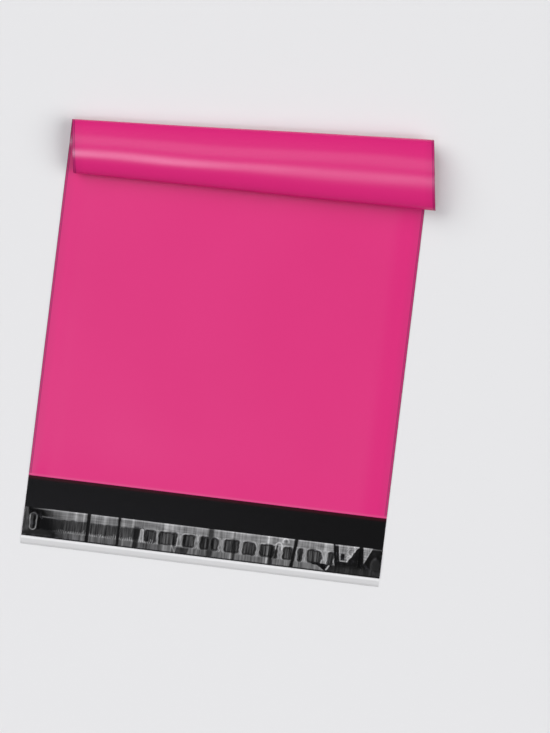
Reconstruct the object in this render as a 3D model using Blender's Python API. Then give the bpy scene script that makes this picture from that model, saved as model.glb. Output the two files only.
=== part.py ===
"""A poly mailer bag: one web of co-extruded film, folded and welded into a pocket with a flap, and
on the flap an adhesive strip under its release liner. The bag lies on its back panel, flap towards
-Y, and its closed end is curled up and over the front panel.

The flat pattern has u across the bag from the left, v up the bag from the flap's free edge, and w
up from the outer face of the back panel."""

import math

import bmesh
import bpy
import numpy as np

MM = 0.001

# The bag laid flat
BAG_WIDTH = 254.0 * MM
POCKET_DEPTH = 330.2 * MM  # from the mouth to the bottom fold
FLAP_DEPTH = 42.6 * MM
FILM_THICKNESS = 0.0635 * MM
POCKET_GAP = 0.6 * MM  # air between the two panels
GAP_TAPER = 6.0 * MM  # over this width the gap opens, from a weld or from the fold
WELD_WIDTH = 1.5 * MM
CREASE_WIDTH = 0.5 * MM

# The closure on the flap
ADHESIVE_WIDTH = 9.0 * MM
ADHESIVE_INSET = 5.5 * MM  # from the flap's free edge
ADHESIVE_THICKNESS = 0.06 * MM
LINER_WIDTH = 26.2 * MM
LINER_OVERHANG = 5.8 * MM  # past the flap's free edge
LINER_THICKNESS = 0.05 * MM
LAYER_CLEARANCE = 0.05 * MM
RIPPLE_HEIGHT = 0.35 * MM
RIPPLE_PITCH = 9.0 * MM
RIPPLE_FACETS = 6

# The roll at the closed end, measured at the left side
ROLL_WIDTH = 37.7 * MM
ROLL_HEIGHT = 16.0 * MM
ROLL_FILM = 115.7 * MM  # from the roll's front, along the panel and round to the bottom fold
TUCK_LIFT = 2.2 * MM  # how much the spiral rises in a full turn
ROLL_FLARE = 12.0 * MM  # the roll is this much wider at the right side
ROLL_SKEW = 4.2 * MM  # and its front is this much further from the mouth there
ROLL_LEAN = 1.5 * MM  # a larger one gives a longer slope from the crown down to the front
CROWN_POWER = 10  # a higher power gives a flatter crown and rounder ends
TURN_STEP = math.radians(8.0)
ARC_STEP = 3.5 * MM
TRACE_STEP = math.radians(0.25)

BAG_LENGTH = FLAP_DEPTH + POCKET_DEPTH
MOUTH = FLAP_DEPTH
CUT_TOLERANCE = 1e-7


def clear_scene():
    for obj in list(bpy.data.objects):
        bpy.data.objects.remove(obj, do_unlink=True)


def film_material(name, colour, roughness):
    material = bpy.data.materials.new(name)
    material.use_nodes = True
    shader = material.node_tree.nodes["Principled BSDF"]
    shader.inputs["Base Color"].default_value = (*colour, 1.0)
    shader.inputs["Roughness"].default_value = roughness
    shader.inputs["Metallic"].default_value = 0.0
    return material


def cosine_integral(power):
    """The integral of cos(x) ** power over a quarter turn."""
    start = power % 2
    value = 1.0 if start else math.pi / 2
    for step in range(start + 2, power + 1, 2):
        value *= (step - 1) / step
    return value


class Curl:
    """Rolls the flat pattern into a cone. Rays from an apex far to the left stay straight, so the
    film only bends across them. The film is flat up to the tangent ray. Past it, a section through
    the roll is a flattened spiral: its radius is large at the crown and small at the two ends. The
    end radius falls with the turn, so that the tucked edge stays clear of the front panel. The lean
    makes the bend from the crown to the front a wide one, and the bend under the front a tight one."""

    def __init__(self):
        half_width = (ROLL_WIDTH + TUCK_LIFT) / 2
        half_height = (ROLL_HEIGHT + TUCK_LIFT / 2) / 2
        crown_share = cosine_integral(CROWN_POWER + 1) - 1 / (CROWN_POWER + 1)
        self.crown = (half_width - half_height) / crown_share
        self.end = half_height - self.crown / (CROWN_POWER + 1)
        self.fall = TUCK_LIFT / (2 * math.pi)

        front_reach = half_width - self.fall * (1.5 * math.pi + 1) - ROLL_LEAN * 2 / 3
        tangent_left = BAG_LENGTH - ROLL_FILM + front_reach
        flare = ROLL_FLARE / ROLL_WIDTH
        rise = ROLL_SKEW + front_reach * flare
        to_apex = BAG_WIDTH / flare
        self.apex = np.array((-to_apex, tangent_left - rise / flare, 0.0))
        self.left_reach = math.hypot(to_apex, rise / flare)
        self.tangent_angle = math.atan2(rise, BAG_WIDTH)
        self.trace()

    def radius(self, turn):
        """The section's radius where the film has turned by this angle, at the left side."""
        bend = self.end - self.fall * turn + ROLL_LEAN * math.sin(2 * turn)
        return bend + self.crown * abs(math.cos(turn)) ** CROWN_POWER

    def ray_angle(self, u, v):
        return math.atan2(v - self.apex[1], u - self.apex[0])

    def trace(self):
        """Turns the frame of a ray along the film: d along the ray, t across it, n inwards."""
        d = np.array((math.cos(self.tangent_angle), math.sin(self.tangent_angle), 0.0))
        n = np.array((0.0, 0.0, 1.0))
        t = np.cross(n, d)
        self.angles, self.turns, self.frames = [self.tangent_angle], [0.0], [(d, n)]
        last = max(self.ray_angle(0.0, BAG_LENGTH), self.ray_angle(BAG_WIDTH, BAG_LENGTH))
        while self.angles[-1] < last:
            turn = self.turns[-1]
            along = self.radius(turn + TRACE_STEP / 2) * TRACE_STEP / self.left_reach
            axis = along * n + TRACE_STEP * d
            size = np.linalg.norm(axis)
            axis = axis / size
            d, t, n = (self.rotate(vector, axis, size) for vector in (d, t, n))
            self.angles.append(self.angles[-1] + along)
            self.turns.append(turn + TRACE_STEP)
            self.frames.append((d, n))

    @staticmethod
    def rotate(vector, axis, angle):
        across = np.cross(axis, vector) * math.sin(angle)
        return vector * math.cos(angle) + across + axis * np.dot(axis, vector) * (1 - math.cos(angle))

    def place(self, u, v, w):
        """Where a point of the flat pattern lies on the curled bag."""
        angle = self.ray_angle(u, v)
        if angle <= self.tangent_angle:
            return (u, v, w)
        after = min(int(np.searchsorted(self.angles, angle)), len(self.angles) - 1)
        low, high = self.angles[after - 1], self.angles[after]
        share = (angle - low) / (high - low)
        d, n = (
            (1 - share) * start + share * stop
            for start, stop in zip(self.frames[after - 1], self.frames[after])
        )
        reach = math.hypot(u - self.apex[0], v - self.apex[1])
        point = self.apex + reach * d / np.linalg.norm(d) + w * n / np.linalg.norm(n)
        return tuple(point)

    def facet_angles(self):
        """The rays along which the solid has its facets' edges."""
        chosen, arc, turned = [self.tangent_angle], 0.0, 0.0
        right_reach = self.left_reach * (1 + ROLL_FLARE / ROLL_WIDTH)
        for before, angle in zip(self.angles, self.angles[1:]):
            arc += (angle - before) * right_reach
            turned += TRACE_STEP
            if arc >= ARC_STEP or turned >= TURN_STEP:
                chosen.append(angle)
                arc, turned = 0.0, 0.0
        return chosen


def flat_pattern(u_low, u_high, v_low, v_high):
    pattern = bmesh.new()
    corners = ((u_low, v_low), (u_high, v_low), (u_high, v_high), (u_low, v_high))
    pattern.faces.new([pattern.verts.new((u, v, 0.0)) for u, v in corners])
    return pattern


def cut(pattern, point, normal):
    """Cuts the pattern's faces along the line through point that is square to normal."""
    bmesh.ops.bisect_plane(
        pattern,
        geom=pattern.verts[:] + pattern.edges[:] + pattern.faces[:],
        dist=CUT_TOLERANCE,
        plane_co=(*point, 0.0),
        plane_no=(*normal, 0.0),
    )


def cut_across(pattern, places):
    for u in places:
        cut(pattern, (u, 0.0), (1.0, 0.0))


def cut_along(pattern, places):
    for v in places:
        cut(pattern, (0.0, v), (0.0, 1.0))


def raise_level(solid, pattern, height, place, shared=None):
    """The solid's vertices above each of the pattern's, or another level's where height gives None."""
    level = {}
    for vert in pattern.verts:
        u, v = vert.co.x, vert.co.y
        w = height(u, v)
        level[vert] = shared[vert] if w is None else solid.verts.new(place(u, v, w))
    return level


def add_layer(solid, faces, lower, upper, joined_below=(), joined_above=(), slots=(0, 0)):
    """One layer over some of the pattern's faces, from the lower level to the upper one. Where it
    is joined to the layer below or above, it has no face there."""
    faces = set(faces)
    for face in faces:
        ring = list(face.verts)
        if face not in joined_below:
            solid.faces.new([lower[vert] for vert in reversed(ring)]).material_index = slots[0]
        if face not in joined_above:
            solid.faces.new([upper[vert] for vert in ring]).material_index = slots[1]
        for loop in face.loops:
            if any(other in faces for other in loop.edge.link_faces if other is not face):
                continue
            a, b = loop.vert, loop.link_loop_next.vert
            wall = solid.faces.new([lower[a], lower[b], upper[b], upper[a]])
            wall.material_index = slots[1]


def to_object(name, solid, materials, smooth_angle=None):
    bmesh.ops.delete(solid, geom=[v for v in solid.verts if not v.link_faces], context="VERTS")
    mesh = bpy.data.meshes.new(name)
    solid.to_mesh(mesh)
    solid.free()
    if smooth_angle is not None:
        mesh.shade_smooth()
        mesh.set_sharp_from_angle(angle=smooth_angle)
    for material in materials:
        mesh.materials.append(material)
    obj = bpy.data.objects.new(name, mesh)
    bpy.context.collection.objects.link(obj)
    return obj


def pocket_gap(u, v):
    """The air gap between the panels, which closes at the side welds and at the bottom fold."""
    to_weld = min(u, BAG_WIDTH - u) - WELD_WIDTH
    to_fold = BAG_LENGTH - CREASE_WIDTH - v
    inside = min(to_weld, to_fold, GAP_TAPER)
    return POCKET_GAP * inside / GAP_TAPER if inside > CUT_TOLERANCE * 10 else 0.0


def make_film(curl, materials):
    """Back panel, front panel and flap, one web that is folded at the bottom and welded up the
    sides. The back panel runs on past the mouth as the flap."""
    pattern = flat_pattern(0.0, BAG_WIDTH, 0.0, BAG_LENGTH)
    weld_edges = (WELD_WIDTH, WELD_WIDTH + GAP_TAPER)
    cut_across(pattern, weld_edges + tuple(BAG_WIDTH - u for u in weld_edges))
    fold = BAG_LENGTH - CREASE_WIDTH
    cut_along(pattern, (MOUTH, fold - GAP_TAPER, fold))
    for angle in curl.facet_angles():
        cut(pattern, curl.apex[:2], (-math.sin(angle), math.cos(angle)))
    bmesh.ops.triangulate(pattern, faces=pattern.faces[:])

    def ceiling_height(u, v):
        gap = pocket_gap(u, v)
        return FILM_THICKNESS + gap if gap else None

    solid = bmesh.new()
    back = raise_level(solid, pattern, lambda u, v: 0.0, curl.place)
    floor = raise_level(solid, pattern, lambda u, v: FILM_THICKNESS, curl.place)
    ceiling = raise_level(solid, pattern, ceiling_height, curl.place, floor)
    front = raise_level(solid, pattern, lambda u, v: 2 * FILM_THICKNESS + pocket_gap(u, v), curl.place)

    pocket = {face for face in pattern.faces if face.calc_center_median().y > MOUTH}
    welded = {
        face for face in pocket if not any(pocket_gap(*vert.co.xy) for vert in face.verts)
    }
    add_layer(solid, pattern.faces, back, floor, joined_above=welded, slots=(0, 1))
    add_layer(solid, pocket, ceiling, front, joined_below=welded, slots=(1, 0))
    pattern.free()
    return to_object("mailer_film", solid, materials, math.radians(20))


def make_adhesive(material):
    """The strip of pressure-sensitive adhesive on the flap's inner face."""
    pattern = flat_pattern(0.0, BAG_WIDTH, ADHESIVE_INSET, ADHESIVE_INSET + ADHESIVE_WIDTH)
    base = FILM_THICKNESS + LAYER_CLEARANCE
    solid = bmesh.new()

    def place(u, v, w):
        return (u, v, w)

    lower = raise_level(solid, pattern, lambda u, v: base, place)
    upper = raise_level(solid, pattern, lambda u, v: base + ADHESIVE_THICKNESS, place)
    add_layer(solid, pattern.faces, lower, upper)
    pattern.free()
    return to_object("adhesive_strip", solid, [material])


def liner_lift(u, v):
    """The liner's puckers stand up between the adhesive strip and the liner's two long edges."""
    wave = (1 - math.cos(2 * math.pi * u / RIPPLE_PITCH)) / 2
    on_adhesive = ADHESIVE_INSET <= v <= ADHESIVE_INSET + ADHESIVE_WIDTH
    return 0.0 if on_adhesive else RIPPLE_HEIGHT * wave**2


def make_liner(material):
    """The release liner over the adhesive strip, past both its long edges and past the flap."""
    pattern = flat_pattern(0.0, BAG_WIDTH, -LINER_OVERHANG, LINER_WIDTH - LINER_OVERHANG)
    facet = RIPPLE_PITCH / RIPPLE_FACETS
    cut_across(pattern, [facet * n for n in range(1, math.ceil(BAG_WIDTH / facet))])
    stuck = (ADHESIVE_INSET, ADHESIVE_INSET + ADHESIVE_WIDTH)
    cut_along(pattern, stuck)
    bmesh.ops.triangulate(pattern, faces=pattern.faces[:])
    base = FILM_THICKNESS + ADHESIVE_THICKNESS + 2 * LAYER_CLEARANCE
    solid = bmesh.new()

    def place(u, v, w):
        return (u, v, w)

    lower = raise_level(solid, pattern, lambda u, v: base + liner_lift(u, v), place)
    upper = raise_level(
        solid, pattern, lambda u, v: base + LINER_THICKNESS + liner_lift(u, v), place
    )
    add_layer(solid, pattern.faces, lower, upper)
    pattern.free()
    return to_object("release_liner", solid, [material], math.radians(30))


def centre_on_origin(objects):
    """Parents the pieces to an empty, and puts the middle of the bag's footprint at the origin."""
    points = np.array([vert.co[:] for obj in objects for vert in obj.data.vertices])
    middle = (points.min(axis=0) + points.max(axis=0)) / 2
    frame = bpy.data.objects.new("bag_frame", None)
    bpy.context.collection.objects.link(frame)
    frame.location = (-middle[0], -middle[1], 0.0)
    for obj in objects:
        obj.parent = frame


def main():
    clear_scene()
    pink = film_material("pink_polyethylene", (0.74, 0.047, 0.23), 0.35)
    black = film_material("black_polyethylene", (0.016, 0.016, 0.015), 0.4)
    adhesive = film_material("adhesive", (0.05, 0.05, 0.05), 0.15)
    liner = film_material("clear_liner", (0.75, 0.75, 0.75), 0.2)
    film = make_film(Curl(), [pink, black])
    centre_on_origin([film, make_adhesive(adhesive), make_liner(liner)])


main()
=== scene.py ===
import math

import bpy
import numpy as np
from bpy.props import FloatProperty, FloatVectorProperty, IntProperty, PointerProperty
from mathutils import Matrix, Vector, noise


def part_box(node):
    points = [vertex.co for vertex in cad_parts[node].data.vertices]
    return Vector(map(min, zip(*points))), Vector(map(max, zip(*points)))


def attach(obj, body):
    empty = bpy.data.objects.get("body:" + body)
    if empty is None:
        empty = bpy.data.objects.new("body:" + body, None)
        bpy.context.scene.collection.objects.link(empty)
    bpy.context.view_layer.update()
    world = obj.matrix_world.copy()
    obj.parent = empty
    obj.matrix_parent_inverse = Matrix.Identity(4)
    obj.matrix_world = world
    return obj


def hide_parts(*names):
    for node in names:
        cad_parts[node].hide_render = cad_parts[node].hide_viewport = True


bl_info = {
    "name": "Poly Mailer Bag",
    "version": (1, 0, 0),
    "blender": (4, 5, 0),
    "location": "View3D > Sidebar > Mailer",
    "description": "Models the film, closure and finish of a poly mailer bag with a curled end",
    "category": "Add Mesh",
}

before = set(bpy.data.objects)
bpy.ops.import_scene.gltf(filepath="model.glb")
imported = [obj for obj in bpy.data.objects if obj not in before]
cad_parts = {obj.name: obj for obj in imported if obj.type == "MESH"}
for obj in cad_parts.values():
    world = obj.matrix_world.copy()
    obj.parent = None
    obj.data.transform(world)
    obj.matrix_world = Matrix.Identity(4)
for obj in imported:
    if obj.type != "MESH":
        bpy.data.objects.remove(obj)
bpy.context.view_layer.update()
MM = 0.001

# The corners of the film's box. The flat pattern starts at the low one.
FILM_LOW, FILM_HIGH = (Vector(corner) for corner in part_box("mailer_film"))

# The photo's frame in pixels, and in it the left end of the mouth
PHOTO_WIDTH, PHOTO_HEIGHT = 550, 733
MOUTH_LEFT = (28.7, 474.8)
PIXELS_PER_METRE = 1420.0


def linear(hex_colour):
    """An sRGB hex colour as linear red, green and blue."""
    values = [int(hex_colour[start : start + 2], 16) / 255 for start in (1, 3, 5)]
    return tuple(v / 12.92 if v <= 0.04045 else ((v + 0.055) / 1.055) ** 2.4 for v in values)


def length(default, name, description):
    return FloatProperty(
        name=name, description=description, default=default, unit="LENGTH", subtype="DISTANCE"
    )


def colour(default, name, description):
    return FloatVectorProperty(
        name=name, description=description, default=linear(default), subtype="COLOR", size=3
    )


def rotation(degrees, name, description):
    return FloatProperty(
        name=name,
        description=description,
        default=math.radians(degrees),
        unit="ROTATION",
        subtype="ANGLE",
    )


def strength(default, name, description):
    return FloatProperty(name=name, description=description, default=default)


class BagSizes(bpy.types.PropertyGroup):
    """The bag laid flat"""

    width: length(254.0 * MM, "Width", "Across the bag, weld to weld")
    pocket: length(330.2 * MM, "Pocket depth", "From the mouth to the bottom fold")
    flap: length(42.6 * MM, "Flap depth", "From the flap's free edge to the mouth")
    film: length(0.0635 * MM, "Film thickness", "One layer of film")
    gap: length(0.3 * MM, "Panel gap", "Air between the two panels")
    gap_taper: length(18.0 * MM, "Gap taper", "How far from a weld or the fold the gap opens")
    mouth_lift: length(0.45 * MM, "Mouth lift", "How far the front panel's edge stands up")
    mouth_roll: length(0.03 * MM, "Mouth roll", "How far the very edge of the mouth turns down")
    weld: length(1.5 * MM, "Weld width", "The side weld, where both films are one")
    wave: length(0.25 * MM, "Panel waves", "Height of the soft waves in the front panel")


class RollSizes(bpy.types.PropertyGroup):
    """The curled end, measured at the left side"""

    width: length(37.7 * MM, "Roll width", "Front to back, seen from above")
    height: length(16.0 * MM, "Roll height", "From the surface to the crown")
    film: length(115.7 * MM, "Film in the roll", "From the roll's front round to the bottom fold")
    lift: length(2.2 * MM, "Tuck lift", "How much the spiral rises in a full turn")
    flare: length(12.0 * MM, "Flare", "How much wider the roll is at the right side")
    skew: length(4.2 * MM, "Skew", "How much further from the mouth its front is there")
    lean: length(1.5 * MM, "Lean", "How much wider the bend is from the crown to the front")
    crown_power: IntProperty(
        name="Crown power", description="Higher for a flatter crown", default=10, min=2
    )
    wave: length(0.35 * MM, "Roll waves", "Height of the soft waves in the rolled film")


class ClosureSizes(bpy.types.PropertyGroup):
    """The adhesive strip and its liner"""

    adhesive: length(9.0 * MM, "Adhesive width", "Width of the adhesive strip")
    inset: length(5.5 * MM, "Adhesive inset", "From the flap's free edge to the strip")
    adhesive_thickness: length(0.06 * MM, "Adhesive thickness", "Thickness of the strip")
    liner: length(26.2 * MM, "Liner width", "Width of the release liner")
    overhang: length(5.8 * MM, "Overhang", "How far the liner passes the flap's free edge")
    liner_thickness: length(0.05 * MM, "Liner thickness", "Thickness of the liner")
    pucker: length(0.3 * MM, "Pucker", "How far the liner stands off where it isn't stuck")


class Finish(bpy.types.PropertyGroup):
    """Colours of the films"""

    pink: colour("#DF267B", "Pink film", "Outside of the bag")
    pink_shade: colour("#DB2377", "Pink film, thin", "Where the pink layer is thinner")
    # The weld colour also paints shade: a dark line in the crease at the weld's inner edge, and a
    # soft darkening for 8 mm inwards.
    weld: colour("#931A58", "Weld", "Melted film along the side welds")
    # Painted highlight: the lip colour is a lighter line along the mouth's edge, standing in for
    # the light caught there.
    lip: colour("#DB4984", "Lip", "The edge of the mouth, which catches the light")
    # Painted reflection: a crimson glow of the pink film's light on the black film beside the
    # mouth.
    cast: colour("#3A0012", "Pink cast", "Black film beside the mouth, in the pink film's glow")
    black: colour("#050505", "Black film", "Inside of the bag")
    glue: colour("#2E2E2E", "Adhesive", "Adhesive over black film")
    wetted: colour("#0D0D0D", "Liner, wetted out", "Liner where it is stuck down or clings")
    # Painted reflection: the liner's silvery colour stands in for the light it reflects where air
    # lies under it.
    painted_reflection: colour("#F4F4F4", "Liner reflection", "Liner where it stands off the film")
    # The overhang's haze: lighter next to the flap's edge is a painted highlight, darker at its
    # lower edge painted shade.
    haze: colour("#D4D4D4", "Liner haze", "Liner at its lower edge, past the flap")
    haze_highlight: colour("#FFFFFF", "Liner haze, light", "Liner close to the edge of the flap")


class StageSettings(bpy.types.PropertyGroup):
    """Floor, lights and camera"""

    floor: colour("#E6E6E6", "Floor", "Pale paper floor")
    view_turn: rotation(7.0, "View turn", "How far the bag is turned clockwise in the picture")
    camera_height: length(5.0, "Camera height", "Height of the camera over the bag")
    sky: strength(0.15, "Sky", "Strength of the light from all round")
    sides: strength(1.63, "Side lamps", "Strength of each side lamp")
    side_height: rotation(45, "Side lamp height", "How far each side lamp is from overhead")
    side_disc: rotation(50, "Side lamp disc", "How much of the sky each side lamp fills")
    left_turn: rotation(123, "Left lamp turn", "How far round from the front the left lamp is")
    right_turn: rotation(84, "Right lamp turn", "How far round from the front the right lamp is")
    strip: strength(58.0, "Strip lamp", "Strength of the strip lamp over the roll's left part")
    strip_fill: strength(22.0, "Strip fill", "Strength of the weaker strip lamp beside it")
    strip_back: strength(24.0, "Strip back", "Strength of the strip lamp behind the roll")
    strip_tint: colour("#F0EFFF", "Strip tint", "Colour of the strip lamps")


def name_object(obj, name):
    """Names an object and its mesh."""
    obj.name = obj.data.name = name
    return obj


def deselect_all():
    if bpy.context.object and bpy.context.object.mode != "OBJECT":
        bpy.ops.object.mode_set(mode="OBJECT")
    bpy.ops.object.select_all(action="DESELECT")


def apply_modifier(obj, kind, **settings):
    modifier = obj.modifiers.new(kind.title(), kind)
    for name, value in settings.items():
        setattr(modifier, name, value)
    bpy.context.view_layer.objects.active = obj
    bpy.ops.object.modifier_apply(modifier=modifier.name)


def sheet_grid(name, columns, rows):
    """A grid with one vertex for each column and row value, and those values as its UV map."""
    deselect_all()
    bpy.ops.mesh.primitive_grid_add(
        x_subdivisions=len(columns) - 1, y_subdivisions=len(rows) - 1, size=1.0, calc_uvs=True
    )
    obj = name_object(bpy.context.object, name)
    mesh = obj.data
    points = np.empty(len(mesh.vertices) * 3)
    mesh.vertices.foreach_get("co", points)
    points = points.reshape(-1, 3)
    across = np.rint((points[:, 0] + 0.5) * (len(columns) - 1)).astype(int)
    along = np.rint((points[:, 1] + 0.5) * (len(rows) - 1)).astype(int)
    u, s = np.array(columns)[across], np.array(rows)[along]
    corners = np.empty(len(mesh.loops), dtype=int)
    mesh.loops.foreach_get("vertex_index", corners)
    mesh.uv_layers[0].data.foreach_set("uv", np.stack([u, s], axis=1)[corners].ravel())
    return obj, u, s


def set_points(obj, points):
    """Moves an object's vertices to the given points."""
    obj.data.vertices.foreach_set("co", np.asarray(points, dtype=np.float32).ravel())
    obj.data.update()


def to_room(u, v, w):
    """From the flat pattern's axes to the room's."""
    return np.stack([u + FILM_LOW.x, v + FILM_LOW.y, w], axis=1)


def ramp(value, start, stop):
    """0 before start, 1 after stop and a smooth step between them."""
    t = np.clip((value - start) / (stop - start), 0.0, 1.0)
    return t * t * (3 - 2 * t)


def soft_noise(u, v, u_size, v_size, seed):
    """Smooth noise from -1 to 1 over the film, in patches of about the given sizes."""
    return np.array(
        [noise.noise(Vector((a / u_size, b / v_size, seed))) for a, b in zip(u, v)]
    )


def spread(stops, steps):
    """Values from the first stop to the last, at about the given step between each two."""
    values = [stops[0]]
    for start, stop, step in zip(stops, stops[1:], steps):
        count = max(1, round((stop - start) / step))
        values += [start + (stop - start) * n / count for n in range(1, count + 1)]
    return values


def cosine_integral(power):
    """The integral of cos(x) ** power over a quarter turn."""
    odd = power % 2
    value = 1.0 if odd else math.pi / 2
    for step in range(odd + 2, power + 1, 2):
        value *= (step - 1) / step
    return value


class Curl:
    """Rolls the flat pattern into the cone of the curled end. Rays from an apex far to the left
    stay straight, so the film bends and doesn't stretch."""

    TRACE_STEP = math.radians(0.25)

    def __init__(self, bag, roll):
        half_width = (roll.width + roll.lift) / 2
        half_height = (roll.height + roll.lift / 2) / 2
        power = roll.crown_power
        self.power = power
        self.crown = (half_width - half_height) / (cosine_integral(power + 1) - 1 / (power + 1))
        self.end = half_height - self.crown / (power + 1)
        self.fall = roll.lift / (2 * math.pi)
        self.lean = roll.lean
        # How far the roll's front stands off from the line where the film leaves the surface
        front_reach = half_width - self.fall * (1.5 * math.pi + 1) - self.lean * 2 / 3
        fold = bag.flap + bag.pocket
        tangent_left = fold - roll.film + front_reach
        flare = roll.flare / roll.width
        rise = roll.skew + front_reach * flare
        self.apex = np.array((-bag.width / flare, tangent_left - rise / flare, 0.0))
        self.left_reach = math.hypot(bag.width / flare, rise / flare)
        self.start = math.atan2(rise, bag.width)
        corners = ((0.0, fold), (bag.width, fold))
        self.trace(max(math.atan2(v - self.apex[1], u - self.apex[0]) for u, v in corners))

    def radius(self, turn):
        """How wide the film bends at the left side, where it has turned so far."""
        bend = self.end - self.fall * turn + self.lean * math.sin(2 * turn)
        return bend + self.crown * abs(math.cos(turn)) ** self.power

    def trace(self, last):
        """Turns the frame of a ray along the film: d along the ray, n to the inside of the roll."""
        d = Vector((math.cos(self.start), math.sin(self.start), 0.0))
        n = Vector((0.0, 0.0, 1.0))
        angles, turns, along_rays, inwards = [self.start], [0.0], [d[:]], [n[:]]
        d, n = np.array(d), np.array(n)
        while angles[-1] < last:
            step = self.radius(turns[-1] + self.TRACE_STEP / 2) * self.TRACE_STEP / self.left_reach
            axis = step * n + self.TRACE_STEP * d
            size = np.linalg.norm(axis)
            axis = axis / size
            d, n = (
                vector * math.cos(size)
                + np.cross(axis, vector) * math.sin(size)
                + axis * np.dot(axis, vector) * (1 - math.cos(size))
                for vector in (d, n)
            )
            angles.append(angles[-1] + step)
            turns.append(turns[-1] + self.TRACE_STEP)
            along_rays.append(tuple(d))
            inwards.append(tuple(n))
        self.angles, self.turns = np.array(angles), np.array(turns)
        self.rays, self.inwards = np.array(along_rays), np.array(inwards)

    def angle(self, u, v):
        """The direction of each point from the apex, in the flat pattern."""
        return np.arctan2(v - self.apex[1], u - self.apex[0])

    def turned(self, u, v):
        """How far the film has turned at each point, in radians."""
        return np.interp(self.angle(u, v), self.angles, self.turns)

    def place(self, u, v, w):
        """Where points of the flat pattern lie on the curled bag, in the pattern's axes."""
        angle = self.angle(u, v)
        reach = np.hypot(u - self.apex[0], v - self.apex[1])
        ray, inward = (
            np.stack([np.interp(angle, self.angles, table[:, axis]) for axis in range(3)], axis=1)
            for table in (self.rays, self.inwards)
        )
        ray /= np.linalg.norm(ray, axis=1)[:, None]
        inward /= np.linalg.norm(inward, axis=1)[:, None]
        rolled = self.apex + reach[:, None] * ray + w[:, None] * inward
        flat = np.stack([u, v, w], axis=1)
        return np.where((angle <= self.start)[:, None], flat, rolled)


# How far the lift and the roll of the mouth reach into the panel, and how far from the welds the
# mouth is fully up
MOUTH_LIFT_REACH, MOUTH_ROLL_REACH = 9 * MM, 0.9 * MM
MOUTH_TAPER = 12 * MM

# How wide and long the soft waves are, and between which turns of the film those of the roll grow
PANEL_WAVE_SIZE = (60 * MM, 95 * MM)
ROLL_WAVE_SIZE = (70 * MM, 26 * MM)
ROLL_WAVE_TURNS = (math.radians(20), math.radians(110))


def panel_gap(bag, u, v, fold):
    """The air between the panels: nothing at the welds and the fold, and widest at the mouth."""
    from_side = np.minimum(u, bag.width - u) - bag.weld
    open_side = ramp(from_side, 0.0, bag.gap_taper)
    open_fold = ramp(fold - v, 0.0, bag.gap_taper)
    from_mouth = v - bag.flap
    lip = bag.mouth_lift * np.exp(-from_mouth / MOUTH_LIFT_REACH)
    lip -= bag.mouth_roll * np.exp(-((from_mouth / MOUTH_ROLL_REACH) ** 2))
    waves = bag.wave * (1 + soft_noise(u, v, *PANEL_WAVE_SIZE, seed=3.1))
    return open_side * open_fold * (bag.gap + waves) + lip * ramp(from_side, 0.0, MOUTH_TAPER)


def model_film(bag, roll):
    """One web of film: flap, back panel, bottom fold and front panel, welded up both sides. Its
    mesh is finer at the welds, round the roll, at the fold and at the mouth."""
    fold = bag.flap + bag.pocket
    web = fold + bag.pocket
    crease = 0.15 * MM
    flat = fold - roll.film - 6 * MM
    lip = web - 6 * MM
    weld, beside = 2.4 * MM, 8 * MM
    columns = spread(
        (0.0, weld, beside, bag.width - beside, bag.width - weld, bag.width),
        (0.4 * MM, 1.1 * MM, 2.9 * MM, 1.1 * MM, 0.4 * MM),
    )
    rows = spread(
        (0.0, flat, fold - crease, fold + crease, 2 * fold - flat, lip, web),
        (3.5 * MM, 0.82 * MM, crease, 0.82 * MM, 3.2 * MM, 0.5 * MM),
    )
    film, u, s = sheet_grid("film_web", columns, rows)
    v = np.where(s > fold, 2 * fold - s, s)
    past_fold = np.clip((s - fold) / crease, -1.0, 1.0) / 2 + 0.5
    curl = Curl(bag, roll)
    bent = ramp(curl.turned(u, v), *ROLL_WAVE_TURNS)
    roll_wave = roll.wave * bent * soft_noise(u, v, *ROLL_WAVE_SIZE, seed=8.7)
    w = bag.film * (0.5 + past_fold) + np.where(s > fold, panel_gap(bag, u, v, fold), 0.0)
    place = curl.place(u, v, w + roll_wave)
    set_points(film, to_room(*place.T))
    return film


# Where the liner is wetted out on the adhesive, in mm from the left side. A hot-melt strip takes
# the film up in blotches: wide ones at the left, then one about every twelve millimetres.
STUCK_CELLS = (
    (11.0, 44.5),
    (47.2, 66.8),
    (69.0, 82.0),
    (86.4, 93.7),
    (96.5, 108.9),
    (113.4, 121.1),
    (125.6, 131.3),
    (134.0, 138.0),
    (142.8, 152.7),
    (156.1, 164.7),
    (168.2, 177.6),
    (178.6, 180.0),
    (184.8, 190.3),
    (195.2, 197.7),
    (201.6, 211.3),
    (216.4, 219.7),
)
CELL_LOW, CELL_HIGH = 5.6, 14.2

# The wide cells are ribbed. The ribs fade out between these two places.
RIBS_FADE = (79.0, 86.0)

# Where the liner clings to the film and no air makes it shine: start, stop, lean, upper end and
# soft rim
CLINGING_BANDS = (
    (44.5, 47.2, 0.0, 21.0, 0.4),
    (66.6, 68.6, 0.0, 21.0, 0.4),
    (78.2, 82.0, 0.0, 14.5, 0.8),
    (130.4, 134.8, 0.0, 21.0, 1.1),
    (148.7, 150.8, 0.0, 13.0, 0.8),
    (174.7, 177.4, 0.0, 13.5, 0.6),
    (190.7, 193.2, 0.10, 21.0, 0.4),
    (220.6, 222.0, -0.16, 21.0, 0.4),
    (237.4, 240.2, 0.0, 21.0, 0.4),
)

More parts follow.
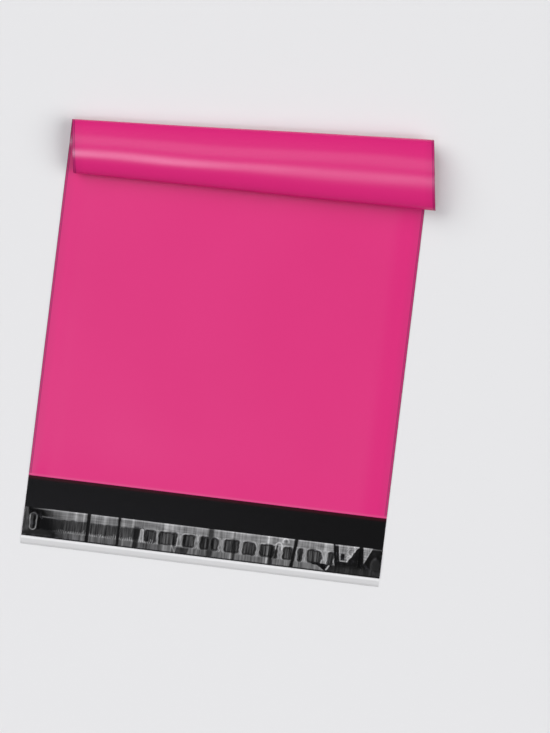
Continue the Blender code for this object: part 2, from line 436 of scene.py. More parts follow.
# Where a crease of the liner runs up the flap and returns more light: place, width, strength
CREASES = (
    (30.5, 1.0, 0.25),
    (36.6, 0.8, 0.5),
    (42.4, 0.7, 0.45),
    (50.6, 1.2, 0.4),
    (57.5, 1.6, 0.25),
    (71.0, 0.8, 0.6),
    (77.4, 0.7, 0.7),
    (100.6, 1.1, 0.6),
    (105.5, 0.6, 0.4),
    (147.7, 0.8, 0.5),
    (173.3, 0.7, 0.6),
    (207.5, 0.9, 0.3),
    (214.0, 1.0, 0.4),
)

# How far apart the bridges of adhesive stand, and where they are taller: place, width, height
TOOTH_PITCH = 1.35
TALL_TEETH = ((65.2, 0.6, 3.6), (43.4, 0.6, 1.6), (76.5, 0.9, 1.4), (91.2, 0.8, 1.6))


def box_distance(u, v, left, right, low, high, corner):
    """The distance from the outline of a rounded box, less than 0 inside."""
    across = np.maximum(left - u, u - right) + corner
    along = np.maximum(low - v, v - high) + corner
    outside = np.hypot(np.maximum(across, 0.0), np.maximum(along, 0.0))
    return outside + np.minimum(np.maximum(across, along), 0.0) - corner


def crest(distance, width):
    """1 on a line, falling off smoothly on both sides of it."""
    return np.exp(-((distance / width) ** 2))


class LinerPattern:
    """How much light the liner returns at each of its points, from 0 to 1, which is painted into
    its colour as its reflection, and how far it stands off. Lengths are in millimetres: u from the
    left side, v from the flap's free edge."""

    def __init__(self, u, v, top):
        self.u, self.v, self.top = u, v, top
        self.wander = soft_noise(u, v, 3.1, 3.1, seed=1.7)
        self.ribs = soft_noise(u, v, 0.75, 14.0, seed=4.2)
        self.streaks = soft_noise(u, v, 11.0, 0.6, seed=7.3)
        self.broad = soft_noise(u, v, 5.0, 30.0, seed=2.9)
        self.cells = self.cell_distance()
        self.ribbed = 1 - ramp(u, *RIBS_FADE)
        self.stuck = 1 - ramp(self.cells, -0.25, 0.25)
        self.shine = self.over_air() * (1 - self.stuck) + self.over_adhesive() * self.stuck
        self.add_outlines()
        self.add_curls()
        self.add_low_patch()
        self.add_creases()
        self.add_teeth()
        self.add_clinging()
        self.add_left_end()
        self.add_right_end()
        self.add_right_corner()
        self.add_edges()

    def cell_distance(self):
        """The distance from the wavy outline of the nearest stuck cell, less than 0 inside."""
        shift = 0.8 * self.wander
        nearest = np.full(len(self.u), 99.0)
        for start, stop in STUCK_CELLS:
            corner = 0.5 if start < RIBS_FADE[1] else min(1.7, (stop - start) * 0.4)
            cell = box_distance(
                self.u + shift, self.v + shift, start, stop, CELL_LOW, CELL_HIGH, corner
            )
            nearest = np.minimum(nearest, cell)
        return nearest

    def over_air(self):
        """A silvery band over the strip, a plain one between the cells and one below the strip."""
        u, v = self.u, self.v
        relief = 0.6 * self.ribs + 0.5 * self.broad
        above = (0.18 + 0.06 * ramp(u, 85, 110)) * (1 + 0.5 * self.streaks + relief)
        between = 0.14 * (1 + relief)
        below = (0.10 + 0.06 * ramp(u, 85, 115)) * (1 + 1.4 * relief)
        middle = between + (below - between) * (1 - ramp(v, CELL_LOW - 0.9, CELL_LOW - 0.1))
        return middle + (above - middle) * ramp(v, CELL_HIGH - 0.1, CELL_HIGH + 0.5)

    def over_adhesive(self):
        """Dark, with ribs, and with a darker rim round the later cells."""
        rim = crest(self.cells + 0.4, 0.4) * (1 - self.ribbed)
        level = 0.05 - 0.01 * self.ribbed
        ribs = (2.4 - 0.6 * self.ribbed) * self.ribs
        return level * np.maximum(1 + ribs + 0.7 * self.broad, 0.05) * (1 - 0.9 * rim)

    def add_outlines(self):
        """The film's creases stand round the later cells like the lines round an island."""
        v, cells, wander = self.v, self.cells, self.wander
        in_strip = ramp(v, 4.5, 5.5) * (1 - ramp(v, 14.7, 15.7)) * (1 - self.ribbed)
        first = np.maximum(crest(cells - 1.0, 0.32) * (0.7 + 0.9 * wander), 0.0)
        second = np.maximum(crest(cells - 1.9, 0.28) * (0.6 - 1.2 * wander), 0.0)
        self.shine += in_strip * (0.38 * first + 0.34 * second)
        self.shine *= 1 - 0.75 * crest(cells - 0.3, 0.3) * in_strip

    def add_curls(self):
        """An arch beside the last ribbed cell, and a curl and a round spot further right."""
        u, v = self.u, self.v
        arch = box_distance(u, v, 82.4, 85.8, 2.0, 15.0, 1.6)
        self.shine += 0.20 * crest(arch + 0.8, 0.35) * ramp(v, 5.0, 7.0)
        self.shine *= 1 - 0.9 * crest(arch, 0.3) * ramp(v, 8.0, 10.0)
        curl = box_distance(u, v, 178.9, 183.2, 4.0, 16.6, 2.1)
        self.shine += 0.52 * crest(curl, 0.35) * ramp(v, 11.0, 12.5)
        spot = np.hypot(u - 185.6, v - 17.8)
        self.shine += 0.38 * crest(spot - 2.1, 0.4) * ramp(v + 0.6 * self.wander, 16.5, 17.5)
        self.shine *= 1 - 0.6 * crest(spot, 1.2)

    def add_low_patch(self):
        """A dark patch below the strip, with a bright line at its left and one over it."""
        u, v = self.u, self.v
        patch = box_distance(u - 0.3 * v, v, 108.2, 116.8, -1.0, 4.8, 0.8)
        self.shine *= 1 - 0.75 * (1 - ramp(patch, -0.3, 0.3))
        spike = crest(u - 108.9 + 0.55 * v, 0.4) * (1 - ramp(v, 5.5, 6.5))
        ledge = crest(v - 5.9, 0.3) * ramp(u, 109.0, 109.6) * (1 - ramp(u, 112, 113))
        self.shine += 0.22 * spike + 0.24 * ledge

    def add_creases(self):
        """Soft bright lines up the flap."""
        for place, width, gain in CREASES:
            self.shine *= 1 + 1.6 * gain * crest(self.u - place + 0.4 * self.wander, width)

    def add_teeth(self):
        """Small bright bridges of adhesive along the strip's lower side."""
        u, v = self.u, self.v
        ticks = (0.5 + 0.5 * np.cos(2 * math.pi * u / TOOTH_PITCH + 3.5 * self.wander)) ** 3
        reach = 6.4 + 1.2 * self.broad
        for place, width, height in TALL_TEETH:
            reach += height * crest(u - place, width)
        band = ramp(v, 4.6, 5.1) * (1 - ramp(v, reach, reach + 0.5))
        self.shine += 0.28 * ticks * band * ramp(u, 20, 22) * (1 - ramp(u, 91, 94))

    def add_clinging(self):
        """Bands up the flap where the liner clings to the film and stays dark."""
        self.clinging = np.zeros(len(self.u))
        for start, stop, lean, upper, soft in CLINGING_BANDS:
            half = (stop - start) / 2
            middle = (start + stop) / 2 + lean * (self.v - 10)
            off_middle = np.abs(self.u - middle + 0.3 * self.wander)
            band = 1 - ramp(off_middle, half - soft, half + soft)
            band *= 1 - ramp(self.v, upper, upper + 2)
            darkness = 1.0 if soft < 0.5 else 0.85
            self.clinging = np.maximum(self.clinging, band * darkness)
        self.shine *= 1 - 0.98 * self.clinging

    def add_left_end(self):
        """The liner clings to the corner, but for a haze at the side and a long narrow bubble."""
        u, v = self.u, self.v
        fade = ramp(u + 0.5 * (v - 16), 13, 31)
        self.shine *= fade
        line = crest(v - 14.6 + 0.02 * (u - 13), 0.35) * ramp(u, 12.4, 13.2) * (1 - ramp(u, 20, 26))
        haze = (0.045 + 0.03 * ramp(v, 8, 18)) * ramp(v, 2.5, 6.0) * (1 + self.ribs)
        haze *= 1 - ramp(u + 0.12 * (v - 10), 3.4, 4.6)
        low = 0.018 * (1 - ramp(v, 4.5, 6.0)) * (1 - ramp(u, 16, 24))
        bubble = box_distance(u + 0.5 * self.wander, v, 4.8, 9.2, 4.9, 16.6, 2.1)
        ring = crest(bubble, 0.33) * (0.34 + 0.25 * self.wander) * (1 - 0.7 * ramp(v, 14.0, 16.0))
        inside = 0.045 * (1 - ramp(bubble, -1.0, -0.4)) * (1 - ramp(u, 6.8, 7.2))
        self.shine += 0.14 * line + haze + low + ring + inside

    def add_right_end(self):
        """Past the last cells the liner clings again, and air is left in two wedges."""
        u, v, wander = self.u, self.v, self.wander
        self.shine *= 1 - 0.97 * ramp(u + 0.16 * (v - 10), 220.5, 221.3)
        depth = self.top - v
        first = np.maximum(222.8 + 0.16 * depth - u, u - 237.2 + 0.62 * depth + 0.8 * wander)
        first = np.maximum(first, 8.8 - v)
        cell = box_distance(u, v, 225.0, 227.8, 9.8, 14.2, 0.6)
        inside = (1 - ramp(first, -0.3, 0.2)) * ramp(cell, -0.2, 0.4)
        self.shine += inside * 0.23 * (1 + 1.2 * self.ribs + 0.7 * self.streaks)
        self.shine += 0.30 * crest(first + 0.3, 0.35) * (0.8 + 0.7 * wander)
        swirls = crest(np.sin(1.5 * (u - 231.0) + 5.0 * wander), 0.35) * inside * ramp(u, 228, 230)
        self.shine += 0.40 * swirls
        second = np.maximum(240.5 + 0.10 * depth - u, u - 247.0 + 0.46 * depth)
        relief = 1 + 0.8 * self.streaks + 0.8 * self.ribs
        self.shine += (1 - ramp(second, -0.3, 0.2)) * 0.27 * relief
        self.shine += 0.24 * crest(second + 0.3, 0.3) * (u > 243) * ramp(v, 8.5, 10.0)
        bulge = np.hypot(u - 250.0, (v - 8.4) * 0.62) - 3.2
        self.shine += 0.016 * (1 - ramp(bulge, -0.4, 0.4)) + 0.03 * crest(bulge, 0.5) * (u < 250.5)

    def add_right_corner(self):
        """Below the last cells: a dark lens and wedge, a bright bar, and a faint haze after it."""
        u, v = self.u, self.v
        lens = np.hypot((u - 212.0) / 8.0, v - 4.9 + 0.05 * (u - 212.0))
        wedge = np.maximum(v - 5.0, np.abs(u - 213.0 - 0.5 * (5.0 - v)) - 1.2 * v + 0.8)
        self.shine *= ramp(lens, 0.85, 1.1) * ramp(wedge, -0.2, 0.4)
        self.shine += 0.20 * crest(wedge - 0.5, 0.3) * (u < 213) * (1 - ramp(v, 4.5, 5.0))
        self.shine *= 1 - 0.85 * ramp(u, 214.4, 215.6) * (1 - ramp(v, 5.2, 5.8))
        low = ramp(u, 221, 224) * (1 - ramp(v, 3.0, 7.0))
        self.shine += (0.018 + 0.05 * np.maximum(self.ribs, 0.0)) * low
        bar = box_distance(u + 0.55 * (3.4 - v), v, 216.4, 217.1, 1.7, 4.8, 0.3)
        self.shine += 0.5 * (1 - ramp(bar, -0.1, 0.5))

    def add_edges(self):
        """The cut edge at the top catches the light, and nothing shines at the flap's free edge."""
        at_top = crest(self.v - self.top + 0.5, 0.36) * (1 - 0.95 * self.clinging)
        at_top *= ramp(self.u, 3, 20) * (1 - 0.7 * ramp(self.u, 241, 252))
        self.shine += 0.30 * at_top
        on_flap = ramp(self.v, 0.7, 1.2)
        self.shine = np.clip(self.shine, 0.0, 1.0) * on_flap
        loose = (1 - self.stuck) * (1 - self.clinging) * (0.55 + 0.45 * self.wander)
        self.lift = np.clip(loose, 0.0, 1.0) * ramp(self.v, 0.2, 1.5)


LINER_STEP = 0.42 * MM
LINER_CLEARANCE = 0.1 * MM


def model_liner(bag, closure):
    """The release liner: clear film that puckers between the patches where it is stuck down."""
    columns = spread((0.0, bag.width), (LINER_STEP,))
    rows = spread((-closure.overhang, closure.liner - closure.overhang), (LINER_STEP,))
    liner, u, v = sheet_grid("liner_film", columns, rows)
    pattern = LinerPattern(u / MM, v / MM, (closure.liner - closure.overhang) / MM)
    base = bag.film + closure.adhesive_thickness + LINER_CLEARANCE
    w = base + closure.liner_thickness / 2 + closure.pucker * pattern.lift
    set_points(liner, to_room(u, v, w))
    # The shine pattern is painted reflection, carried to the liner's material as an attribute.
    attribute = liner.data.attributes.new("shine", "FLOAT", "POINT")
    attribute.data.foreach_set("value", pattern.shine.astype(np.float32))
    return liner


ADHESIVE_STEP = 2.0 * MM
ADHESIVE_CLEARANCE = 0.03 * MM
RAGGED_EDGE = 0.25 * MM


def model_adhesive(bag, closure):
    """The adhesive strip: a thin bead with a soft wavy edge."""
    columns = spread((0.0, bag.width), (ADHESIVE_STEP,))
    rows = spread((0.0, 1.0), (0.1,))
    strip, u, share = sheet_grid("adhesive_bead", columns, rows)
    ragged = RAGGED_EDGE * soft_noise(u, share * 0, 7 * MM, 1.0, seed=5.5)
    v = closure.inset + closure.adhesive * share + ragged * (2 * share - 1)
    domed = 0.35 + 0.65 * np.sqrt(np.clip(1 - (2 * share - 1) ** 2, 0.0, 1.0))
    w = bag.film + ADHESIVE_CLEARANCE + closure.adhesive_thickness * domed / 2
    set_points(strip, to_room(u, v, w))
    return strip


def add_node(tree, kind, inputs=None, points=(), **settings):
    """Adds a node with its settings and its inputs' values or links. Points are a colour ramp's
    places and the levels of grey there."""
    node = tree.nodes.new(kind)
    for name, value in settings.items():
        setattr(node, name, value)
    for socket, value in (inputs or {}).items():
        if isinstance(value, bpy.types.NodeSocket):
            tree.links.new(value, node.inputs[socket])
        else:
            node.inputs[socket].default_value = value
    if points:
        elements = node.color_ramp.elements
        while len(elements) < len(points):
            elements.new(0.5)
        for element, (place, level) in zip(elements, points):
            element.position = place
            element.color = (level, level, level, 1.0)
    return node


def new_material(name):
    material = bpy.data.materials.new(name)
    material.use_nodes = True
    material.node_tree.nodes.clear()
    return material, material.node_tree


def opaque(rgb):
    return (*rgb, 1.0)


# Blown film has fine lines along the web, from scratches in the die, and gels, small hard specks.
# Both are finer than a pixel of the picture, so they are drawn this coarse.
DIE_LINE_WIDTH, DIE_LINE_LENGTH = 1.43 * MM, 83.3 * MM
GEL_SIZE = 2.63 * MM


def blown_film_grain(tree, uv, line_height, gel_height):
    """The surface of blown film: faint die lines along the web, and small gels."""
    stretch = (1 / DIE_LINE_WIDTH, 1 / DIE_LINE_LENGTH, 1.0)
    along_web = add_node(tree, "ShaderNodeMapping", {"Vector": uv, "Scale": stretch}).outputs[0]
    lines = add_node(tree, "ShaderNodeTexNoise", {"Vector": along_web, "Scale": 1.0}).outputs[0]
    gels = add_node(
        tree, "ShaderNodeTexNoise", {"Vector": uv, "Scale": 1 / GEL_SIZE, "Detail": 3.0}
    ).outputs[0]
    lined = add_node(
        tree, "ShaderNodeBump", {"Height": lines, "Distance": line_height, "Strength": 1.0}
    ).outputs[0]
    bumpy = add_node(
        tree,
        "ShaderNodeBump",
        {"Height": gels, "Distance": gel_height, "Strength": 1.0, "Normal": lined},
    ).outputs[0]
    return gels, bumpy


# How wide the patches are in which the pink layer is a little thinner
THIN_PATCH = 71.4 * MM

# How far from a side and from the mouth the pink film's tone changes, and how much of the new tone
# there is on the way: share of that distance, share of the tone. At the sides the weld's own darker
# lines come with painted shade: a dark line in the crease at the weld's inner edge, and a soft
# darkening for the rest of the way in. At the mouth a lighter line is a painted highlight.
WELD_AND_SHADE_REACH, LIP_HIGHLIGHT_REACH = 8.0 * MM, 4.0 * MM
WELD_AND_SHADE_TONES = (
    (0.0, 1.0),
    (0.06, 0.95),
    (0.09, 0.3),
    (0.12, 0.3),
    (0.15, 0.9),
    (0.2, 0.85),
    (0.24, 0.14),
    (1.0, 0.0),
)
LIP_HIGHLIGHT_TONES = ((0.0, 0.2), (0.22, 1.0), (0.42, 0.15), (0.6, 0.0))


def web_length(bag):
    """The flap, the back panel and the front panel in one."""
    return bag.flap + 2 * bag.pocket


def pink_film_material(finish, bag):
    """Co-extruded low-density polyethylene, blown: an even satin pink whose highlights are soft,
    with the faint streaks that the die leaves along the web. The welds are darker lines at the
    sides, with painted shade in the crease at their inner edge and a soft painted darkening for
    8 mm inwards, and the edge of the mouth is a lighter line, a painted highlight."""
    material, tree = new_material("blown_polyethylene_pink")
    uv = add_node(tree, "ShaderNodeUVMap").outputs[0]
    gels, bump = blown_film_grain(tree, uv, line_height=0.004 * MM, gel_height=0.006 * MM)
    patches = add_node(
        tree, "ShaderNodeTexNoise", {"Vector": uv, "Scale": 1 / THIN_PATCH, "Detail": 2.0}
    ).outputs[0]
    plain = add_node(
        tree,
        "ShaderNodeMix",
        {0: patches, 6: opaque(finish.pink), 7: opaque(finish.pink_shade)},
        data_type="RGBA",
    ).outputs[2]
    u, v = add_node(tree, "ShaderNodeSeparateXYZ", {0: uv}).outputs[:2]
    middle = bag.width / 2
    from_middle = add_node(tree, "ShaderNodeMath", {0: u, 1: middle}, operation="SUBTRACT")
    reach = add_node(
        tree, "ShaderNodeMath", {0: from_middle.outputs[0]}, operation="ABSOLUTE"
    ).outputs[0]
    from_side = add_node(
        tree,
        "ShaderNodeMapRange",
        {"Value": reach, "From Min": middle, "From Max": middle - WELD_AND_SHADE_REACH},
    ).outputs[0]
    # The weld's own darker lines, with painted shade: the crease line inside the weld and a soft
    # darkening further in.
    weld = add_node(tree, "ShaderNodeValToRGB", {0: from_side}, points=WELD_AND_SHADE_TONES).outputs[0]
    welded = add_node(
        tree, "ShaderNodeMix", {0: weld, 6: plain, 7: opaque(finish.weld)}, data_type="RGBA"
    ).outputs[2]
    web = web_length(bag)
    # A lighter line along the mouth's edge: painted highlight.
    from_lip_highlight = add_node(
        tree, "ShaderNodeMapRange", {"Value": v, "From Min": web, "From Max": web - LIP_HIGHLIGHT_REACH}
    ).outputs[0]
    lip = add_node(tree, "ShaderNodeValToRGB", {0: from_lip_highlight}, points=LIP_HIGHLIGHT_TONES).outputs[0]
    tone = add_node(
        tree, "ShaderNodeMix", {0: lip, 6: welded, 7: opaque(finish.lip)}, data_type="RGBA"
    ).outputs[2]
    rough = add_node(
        tree, "ShaderNodeMapRange", {"Value": gels, "To Min": 0.20, "To Max": 0.25}
    ).outputs[0]
    shader = add_node(
        tree,
        "ShaderNodeBsdfPrincipled",
        {"Base Color": tone, "Roughness": rough, "Normal": bump, "IOR": 1.51},
    )
    add_node(tree, "ShaderNodeOutputMaterial", {"Surface": shader.outputs[0]})
    return material


# How far from the mouth the painted glow, the pink film's light reflected on the black film, starts
# and is full
PAINTED_GLOW_START, PAINTED_GLOW_FULL = 3.0 * MM, 0.6 * MM


def black_film_material(finish, bag):
    """The black inner layer of the same film: opaque, satin, with the same die streaks, and with
    a painted crimson glow, the pink film's reflected light, next to the pink film's edge."""
    material, tree = new_material("blown_polyethylene_black")
    uv = add_node(tree, "ShaderNodeUVMap").outputs[0]
    gels, bump = blown_film_grain(tree, uv, line_height=0.003 * MM, gel_height=0.004 * MM)
    rough = add_node(
        tree, "ShaderNodeMapRange", {"Value": gels, "To Min": 0.10, "To Max": 0.14}
    ).outputs[0]
    v = add_node(tree, "ShaderNodeSeparateXYZ", {0: uv}).outputs[1]
    glow_by_mouth = add_node(
        tree,
        "ShaderNodeMapRange",
        {"Value": v, "From Min": bag.flap - PAINTED_GLOW_START, "From Max": bag.flap - PAINTED_GLOW_FULL},
    ).outputs[0]
    tone = add_node(
        tree,
        "ShaderNodeMix",
        {0: glow_by_mouth, 6: opaque(finish.black), 7: opaque(finish.cast)},
        data_type="RGBA",
    ).outputs[2]
    shader = add_node(
        tree,
        "ShaderNodeBsdfPrincipled",
        {"Base Color": tone, "Roughness": rough, "Normal": bump, "IOR": 1.40},
    )
    add_node(tree, "ShaderNodeOutputMaterial", {"Surface": shader.outputs[0]})
    return material


# How opaque the liner is past the flap, and over it where it is dark and where it shines
COVER_PAST_FLAP, COVER_DARK, COVER_SHINY = 0.6, 0.8, 0.95
FULL_SHINE = 0.2

# How light the haze is on the overhang, from its lower edge, 0, to the flap, 1, and how softly
# the liner's look changes at the flap's edge. Its light band next to the flap is a painted
# highlight, and its darker band at the lower edge painted shade.
HAZE_HIGHLIGHT_AND_SHADE_TONES = ((0.0, 0.0), (0.14, 0.1), (0.24, 0.38), (0.66, 0.5), (0.74, 1.0), (0.98, 1.0))
EDGE_SOFTNESS = 0.2 * MM


def liner_material(finish, closure):
    """Siliconed polypropylene release film: clear and glossy. Its reflection is painted into its
    colour: silvery where air lies under it, dark where it is wetted out on the adhesive. Past the
    flap's edge it is hazy, with a painted highlight next to the edge and painted shade at its lower
    edge."""
    material, tree = new_material("release_film_clear")
    shine = add_node(tree, "ShaderNodeAttribute", attribute_name="shine").outputs["Fac"]
    uv = add_node(tree, "ShaderNodeUVMap").outputs[0]
    v = add_node(tree, "ShaderNodeSeparateXYZ", {0: uv}).outputs[1]
    # Painted reflection: the shine mixes the liner's colour from dark to silvery.
    painted_reflection = add_node(
        tree,
        "ShaderNodeMix",
        {0: shine, 6: opaque(finish.wetted), 7: opaque(finish.painted_reflection)},
        data_type="RGBA",
    ).outputs[2]
    overhang = add_node(
        tree, "ShaderNodeMapRange", {"Value": v, "From Min": -closure.overhang, "From Max": 0.0}
    ).outputs[0]
    light = add_node(tree, "ShaderNodeValToRGB", {0: overhang}, points=HAZE_HIGHLIGHT_AND_SHADE_TONES).outputs[0]
    haze = add_node(
        tree,
        "ShaderNodeMix",
        {0: light, 6: opaque(finish.haze), 7: opaque(finish.haze_highlight)},
        data_type="RGBA",
    ).outputs[2]
    past_flap = add_node(
        tree,
        "ShaderNodeMapRange",
        {"Value": v, "From Min": EDGE_SOFTNESS, "From Max": -EDGE_SOFTNESS},
    ).outputs[0]
    tone = add_node(
        tree, "ShaderNodeMix", {0: past_flap, 6: painted_reflection, 7: haze}, data_type="RGBA"
    ).outputs[2]
    over_flap = add_node(
        tree,
        "ShaderNodeMapRange",
        {"Value": shine, "From Max": FULL_SHINE, "To Min": COVER_DARK, "To Max": COVER_SHINY},
    ).outputs[0]
    cover = add_node(
        tree, "ShaderNodeMix", {0: past_flap, 2: over_flap, 3: COVER_PAST_FLAP}, data_type="FLOAT"
    ).outputs[0]
    shader = add_node(
        tree,
        "ShaderNodeBsdfPrincipled",
        {"Base Color": tone, "Alpha": cover, "Roughness": 0.16, "Specular IOR Level": 0.07},
    )
    add_node(tree, "ShaderNodeOutputMaterial", {"Surface": shader.outputs[0]})
    return material


# How wide and high the ripple is that the nozzle leaves in the adhesive
RIPPLE_SIZE, RIPPLE_HEIGHT = 3.85 * MM, 0.02 * MM


def adhesive_material(finish):
    """Hot-melt adhesive over black film: wet-looking and dark, with a soft ripple."""
    material, tree = new_material("hot_melt_adhesive")
    uv = add_node(tree, "ShaderNodeUVMap").outputs[0]
    ripple = add_node(
        tree, "ShaderNodeTexNoise", {"Vector": uv, "Scale": 1 / RIPPLE_SIZE, "Detail": 2.0}
    ).outputs[0]
    bump = add_node(
        tree, "ShaderNodeBump", {"Height": ripple, "Distance": RIPPLE_HEIGHT, "Strength": 1.0}
    ).outputs[0]
    shader = add_node(
        tree,
        "ShaderNodeBsdfPrincipled",
        {"Base Color": opaque(finish.glue), "Roughness": 0.18, "Normal": bump},
    )
    add_node(tree, "ShaderNodeOutputMaterial", {"Surface": shader.outputs[0]})
    return material


# Paper's fibres are finer than a pixel of the picture too, so they are drawn this coarse
FIBRE_SIZE, FIBRE_HEIGHT = 1.11 * MM, 0.01 * MM


def floor_material(stage):
    """Matt paper: pale and even, with fine fibres."""
    material, tree = new_material("paper_floor")
    position = add_node(tree, "ShaderNodeTexCoord").outputs["Object"]
    fibres = add_node(
        tree, "ShaderNodeTexNoise", {"Vector": position, "Scale": 1 / FIBRE_SIZE}
    ).outputs[0]
    bump = add_node(
        tree, "ShaderNodeBump", {"Height": fibres, "Distance": FIBRE_HEIGHT, "Strength": 0.3}
    ).outputs[0]
    shader = add_node(
        tree,
        "ShaderNodeBsdfPrincipled",
        {
            "Base Color": opaque(stage.floor),
            "Roughness": 0.9,
            "Specular IOR Level": 0.1,
            "Normal": bump,
        },
    )
    add_node(tree, "ShaderNodeOutputMaterial", {"Surface": shader.outputs[0]})
    return material


SMOOTH_UP_TO = math.radians(50)


def finish_piece(obj, node, thickness, materials):
    """Gives a sheet its thickness and its materials, the first of them on its upper side, and puts
    it in the place of a node."""
    for material in materials:
        obj.data.materials.append(material)
    deselect_all()
    obj.select_set(True)
    under = len(materials) - 1
    apply_modifier(obj, "SOLIDIFY", thickness=thickness, offset=0.0, material_offset=under)
    bpy.ops.object.shade_smooth_by_angle(angle=SMOOTH_UP_TO)
    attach(obj, "root")
    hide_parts(node)


class MAILER_OT_film(bpy.types.Operator):
    """Fold, weld and curl the film web"""

    bl_idname = "mailer.film"
    bl_label = "Film"

    def execute(self, context):
        bag, roll = context.scene.mailer_bag, context.scene.mailer_roll
        film = model_film(bag, roll)
        finish = context.scene.mailer_finish
        materials = [black_film_material(finish, bag), pink_film_material(finish, bag)]
        finish_piece(film, "mailer_film", bag.film, materials)
        return {"FINISHED"}


class MAILER_OT_adhesive(bpy.types.Operator):
    """Lay the adhesive strip on the flap"""

    bl_idname = "mailer.adhesive"
    bl_label = "Adhesive strip"

    def execute(self, context):
        closure = context.scene.mailer_closure
        strip = model_adhesive(context.scene.mailer_bag, closure)
        materials = [adhesive_material(context.scene.mailer_finish)]
        thickness = closure.adhesive_thickness / 2
        finish_piece(strip, "adhesive_strip", thickness, materials)
        return {"FINISHED"}


class MAILER_OT_liner(bpy.types.Operator):
    """Cover the adhesive strip with its release liner"""

    bl_idname = "mailer.liner"
    bl_label = "Release liner"

    def execute(self, context):
        bag, closure = context.scene.mailer_bag, context.scene.mailer_closure
        liner = model_liner(bag, closure)
        materials = [liner_material(context.scene.mailer_finish, closure)]
        finish_piece(liner, "release_liner", closure.liner_thickness, materials)
        return {"FINISHED"}


# The floor lies just under the bag, and reaches past the edges of every view
FLOOR_SIZE, FLOOR_DROP = 8.0, 0.2 * MM
BACKDROP_STRENGTH = 0.9
LAMP_HEIGHT = 8.0
FARTHEST_SEEN = 50.0

# Each strip lamp's strength in the settings, its two ends in x, and the angles that it fills as
# seen from the roll, in degrees from overhead towards the front
STRIP_LAMPS = (
    ("strip", (-1.45, -0.72), (12.0, 20.0)),
    ("strip_fill", (-1.3, 0.0), (6.0, 13.0)),
    ("strip_back", (-1.3, 0.2), (-20.0, -3.2)),
)


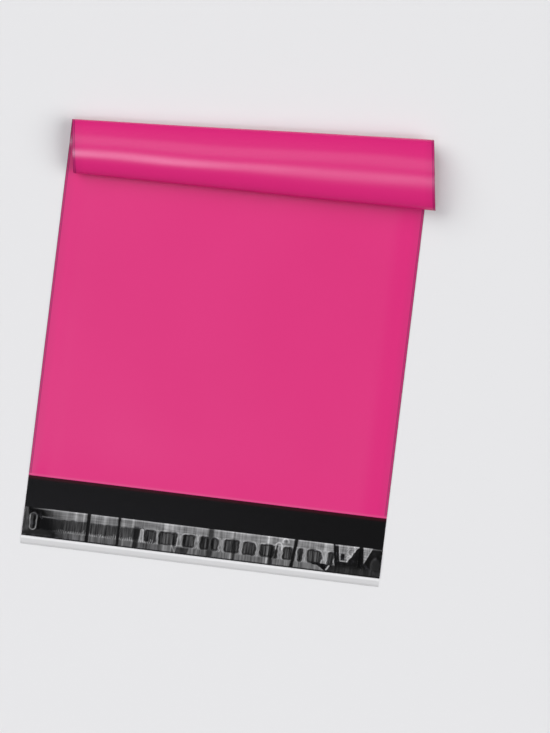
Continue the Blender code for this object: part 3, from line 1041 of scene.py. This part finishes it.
class MAILER_OT_stage(bpy.types.Operator):
    """Set the floor, the lights and the camera"""

    bl_idname = "mailer.stage"
    bl_label = "Stage"

    def execute(self, context):
        scene, stage = context.scene, context.scene.mailer_stage
        self.add_floor(stage)
        self.add_lights(scene, stage)
        self.add_camera(scene, stage)
        scene.view_settings.view_transform = "Standard"
        return {"FINISHED"}

    def add_floor(self, stage):
        deselect_all()
        bpy.ops.mesh.primitive_plane_add(size=FLOOR_SIZE, location=(0.0, 0.0, -FLOOR_DROP))
        floor = name_object(bpy.context.object, "floor")
        bpy.ops.object.transform_apply(location=True)
        floor.data.materials.append(floor_material(stage))

    def add_lights(self, scene, stage):
        world = bpy.data.worlds.new("studio")
        scene.world = world
        world.use_nodes = True
        tree = world.node_tree
        tree.nodes.clear()
        seen = add_node(tree, "ShaderNodeLightPath").outputs["Is Camera Ray"]
        light = add_node(
            tree, "ShaderNodeMix", {0: seen, 2: stage.sky, 3: BACKDROP_STRENGTH}, data_type="FLOAT"
        ).outputs[0]
        white = opaque(linear("#FFFFFF"))
        background = add_node(tree, "ShaderNodeBackground", {0: white, 1: light})
        add_node(tree, "ShaderNodeOutputWorld", {"Surface": background.outputs[0]})
        for turn in (-stage.left_turn, stage.right_turn):
            bpy.ops.object.light_add(type="SUN", rotation=(stage.side_height, 0.0, turn))
            lamp = bpy.context.object.data
            lamp.energy = stage.sides
            lamp.angle = stage.side_disc
        for name, ends, angles in STRIP_LAMPS:
            self.add_strip_lamp(stage, getattr(stage, name), ends, angles)

    def add_strip_lamp(self, stage, power, ends, angles):
        """A long lamp high over the bag, whose reflection runs along the roll."""
        left, right = ends
        near, far = (math.radians(angle) for angle in angles)
        middle = (near + far) / 2
        y = FILM_HIGH.y - LAMP_HEIGHT * math.tan(middle)
        bpy.ops.object.light_add(
            type="AREA", location=((left + right) / 2, y, LAMP_HEIGHT), rotation=(middle, 0.0, 0.0)
        )
        lamp = bpy.context.object.data
        lamp.shape = "RECTANGLE"
        lamp.size = right - left
        lamp.size_y = LAMP_HEIGHT * (math.tan(far) - math.tan(near))
        lamp.color = stage.strip_tint
        lamp.energy = power

    def add_camera(self, scene, stage):
        """Looks straight down, with the mouth's left end on the photo's own pixel."""
        bag = scene.mailer_bag
        right = (PHOTO_WIDTH / 2 - MOUTH_LEFT[0]) / PIXELS_PER_METRE
        up = (MOUTH_LEFT[1] - PHOTO_HEIGHT / 2) / PIXELS_PER_METRE
        sine, cosine = math.sin(stage.view_turn), math.cos(stage.view_turn)
        x = FILM_LOW.x + right * cosine - up * sine
        y = FILM_LOW.y + bag.flap + right * sine + up * cosine
        bpy.ops.object.camera_add(
            location=(x, y, stage.camera_height), rotation=(0.0, 0.0, stage.view_turn)
        )
        camera = bpy.context.object
        camera.data.sensor_fit = "VERTICAL"
        seen_height = PHOTO_HEIGHT / PIXELS_PER_METRE
        camera.data.angle = 2 * math.atan(seen_height / 2 / stage.camera_height)
        camera.data.clip_end = FARTHEST_SEEN
        scene.camera = camera


class MAILER_PT_parts(bpy.types.Panel):
    """Sizes, colours and pieces of the mailer bag"""

    bl_idname = "MAILER_PT_parts"
    bl_label = "Poly Mailer Bag"
    bl_space_type = "VIEW_3D"
    bl_region_type = "UI"
    bl_category = "Mailer"

    def draw(self, context):
        for group in GROUPS:
            settings = getattr(context.scene, group)
            box = self.layout.box()
            for name in settings.bl_rna.properties.keys():
                if name not in ("rna_type", "name"):
                    box.prop(settings, name)
        for operator in PIECES:
            self.layout.operator(operator.bl_idname)


PIECES = (MAILER_OT_film, MAILER_OT_adhesive, MAILER_OT_liner, MAILER_OT_stage)
GROUPS = {
    "mailer_bag": BagSizes,
    "mailer_roll": RollSizes,
    "mailer_closure": ClosureSizes,
    "mailer_finish": Finish,
    "mailer_stage": StageSettings,
}


def register():
    for kind in (*GROUPS.values(), *PIECES, MAILER_PT_parts):
        bpy.utils.register_class(kind)
    for name, group in GROUPS.items():
        setattr(bpy.types.Scene, name, PointerProperty(type=group))


def unregister():
    for name in GROUPS:
        delattr(bpy.types.Scene, name)
    for kind in (MAILER_PT_parts, *reversed(PIECES), *GROUPS.values()):
        bpy.utils.unregister_class(kind)


def main():
    register()
    bpy.ops.mailer.film()
    bpy.ops.mailer.adhesive()
    bpy.ops.mailer.liner()
    bpy.ops.mailer.stage()


if __name__ == "__main__":
    main()
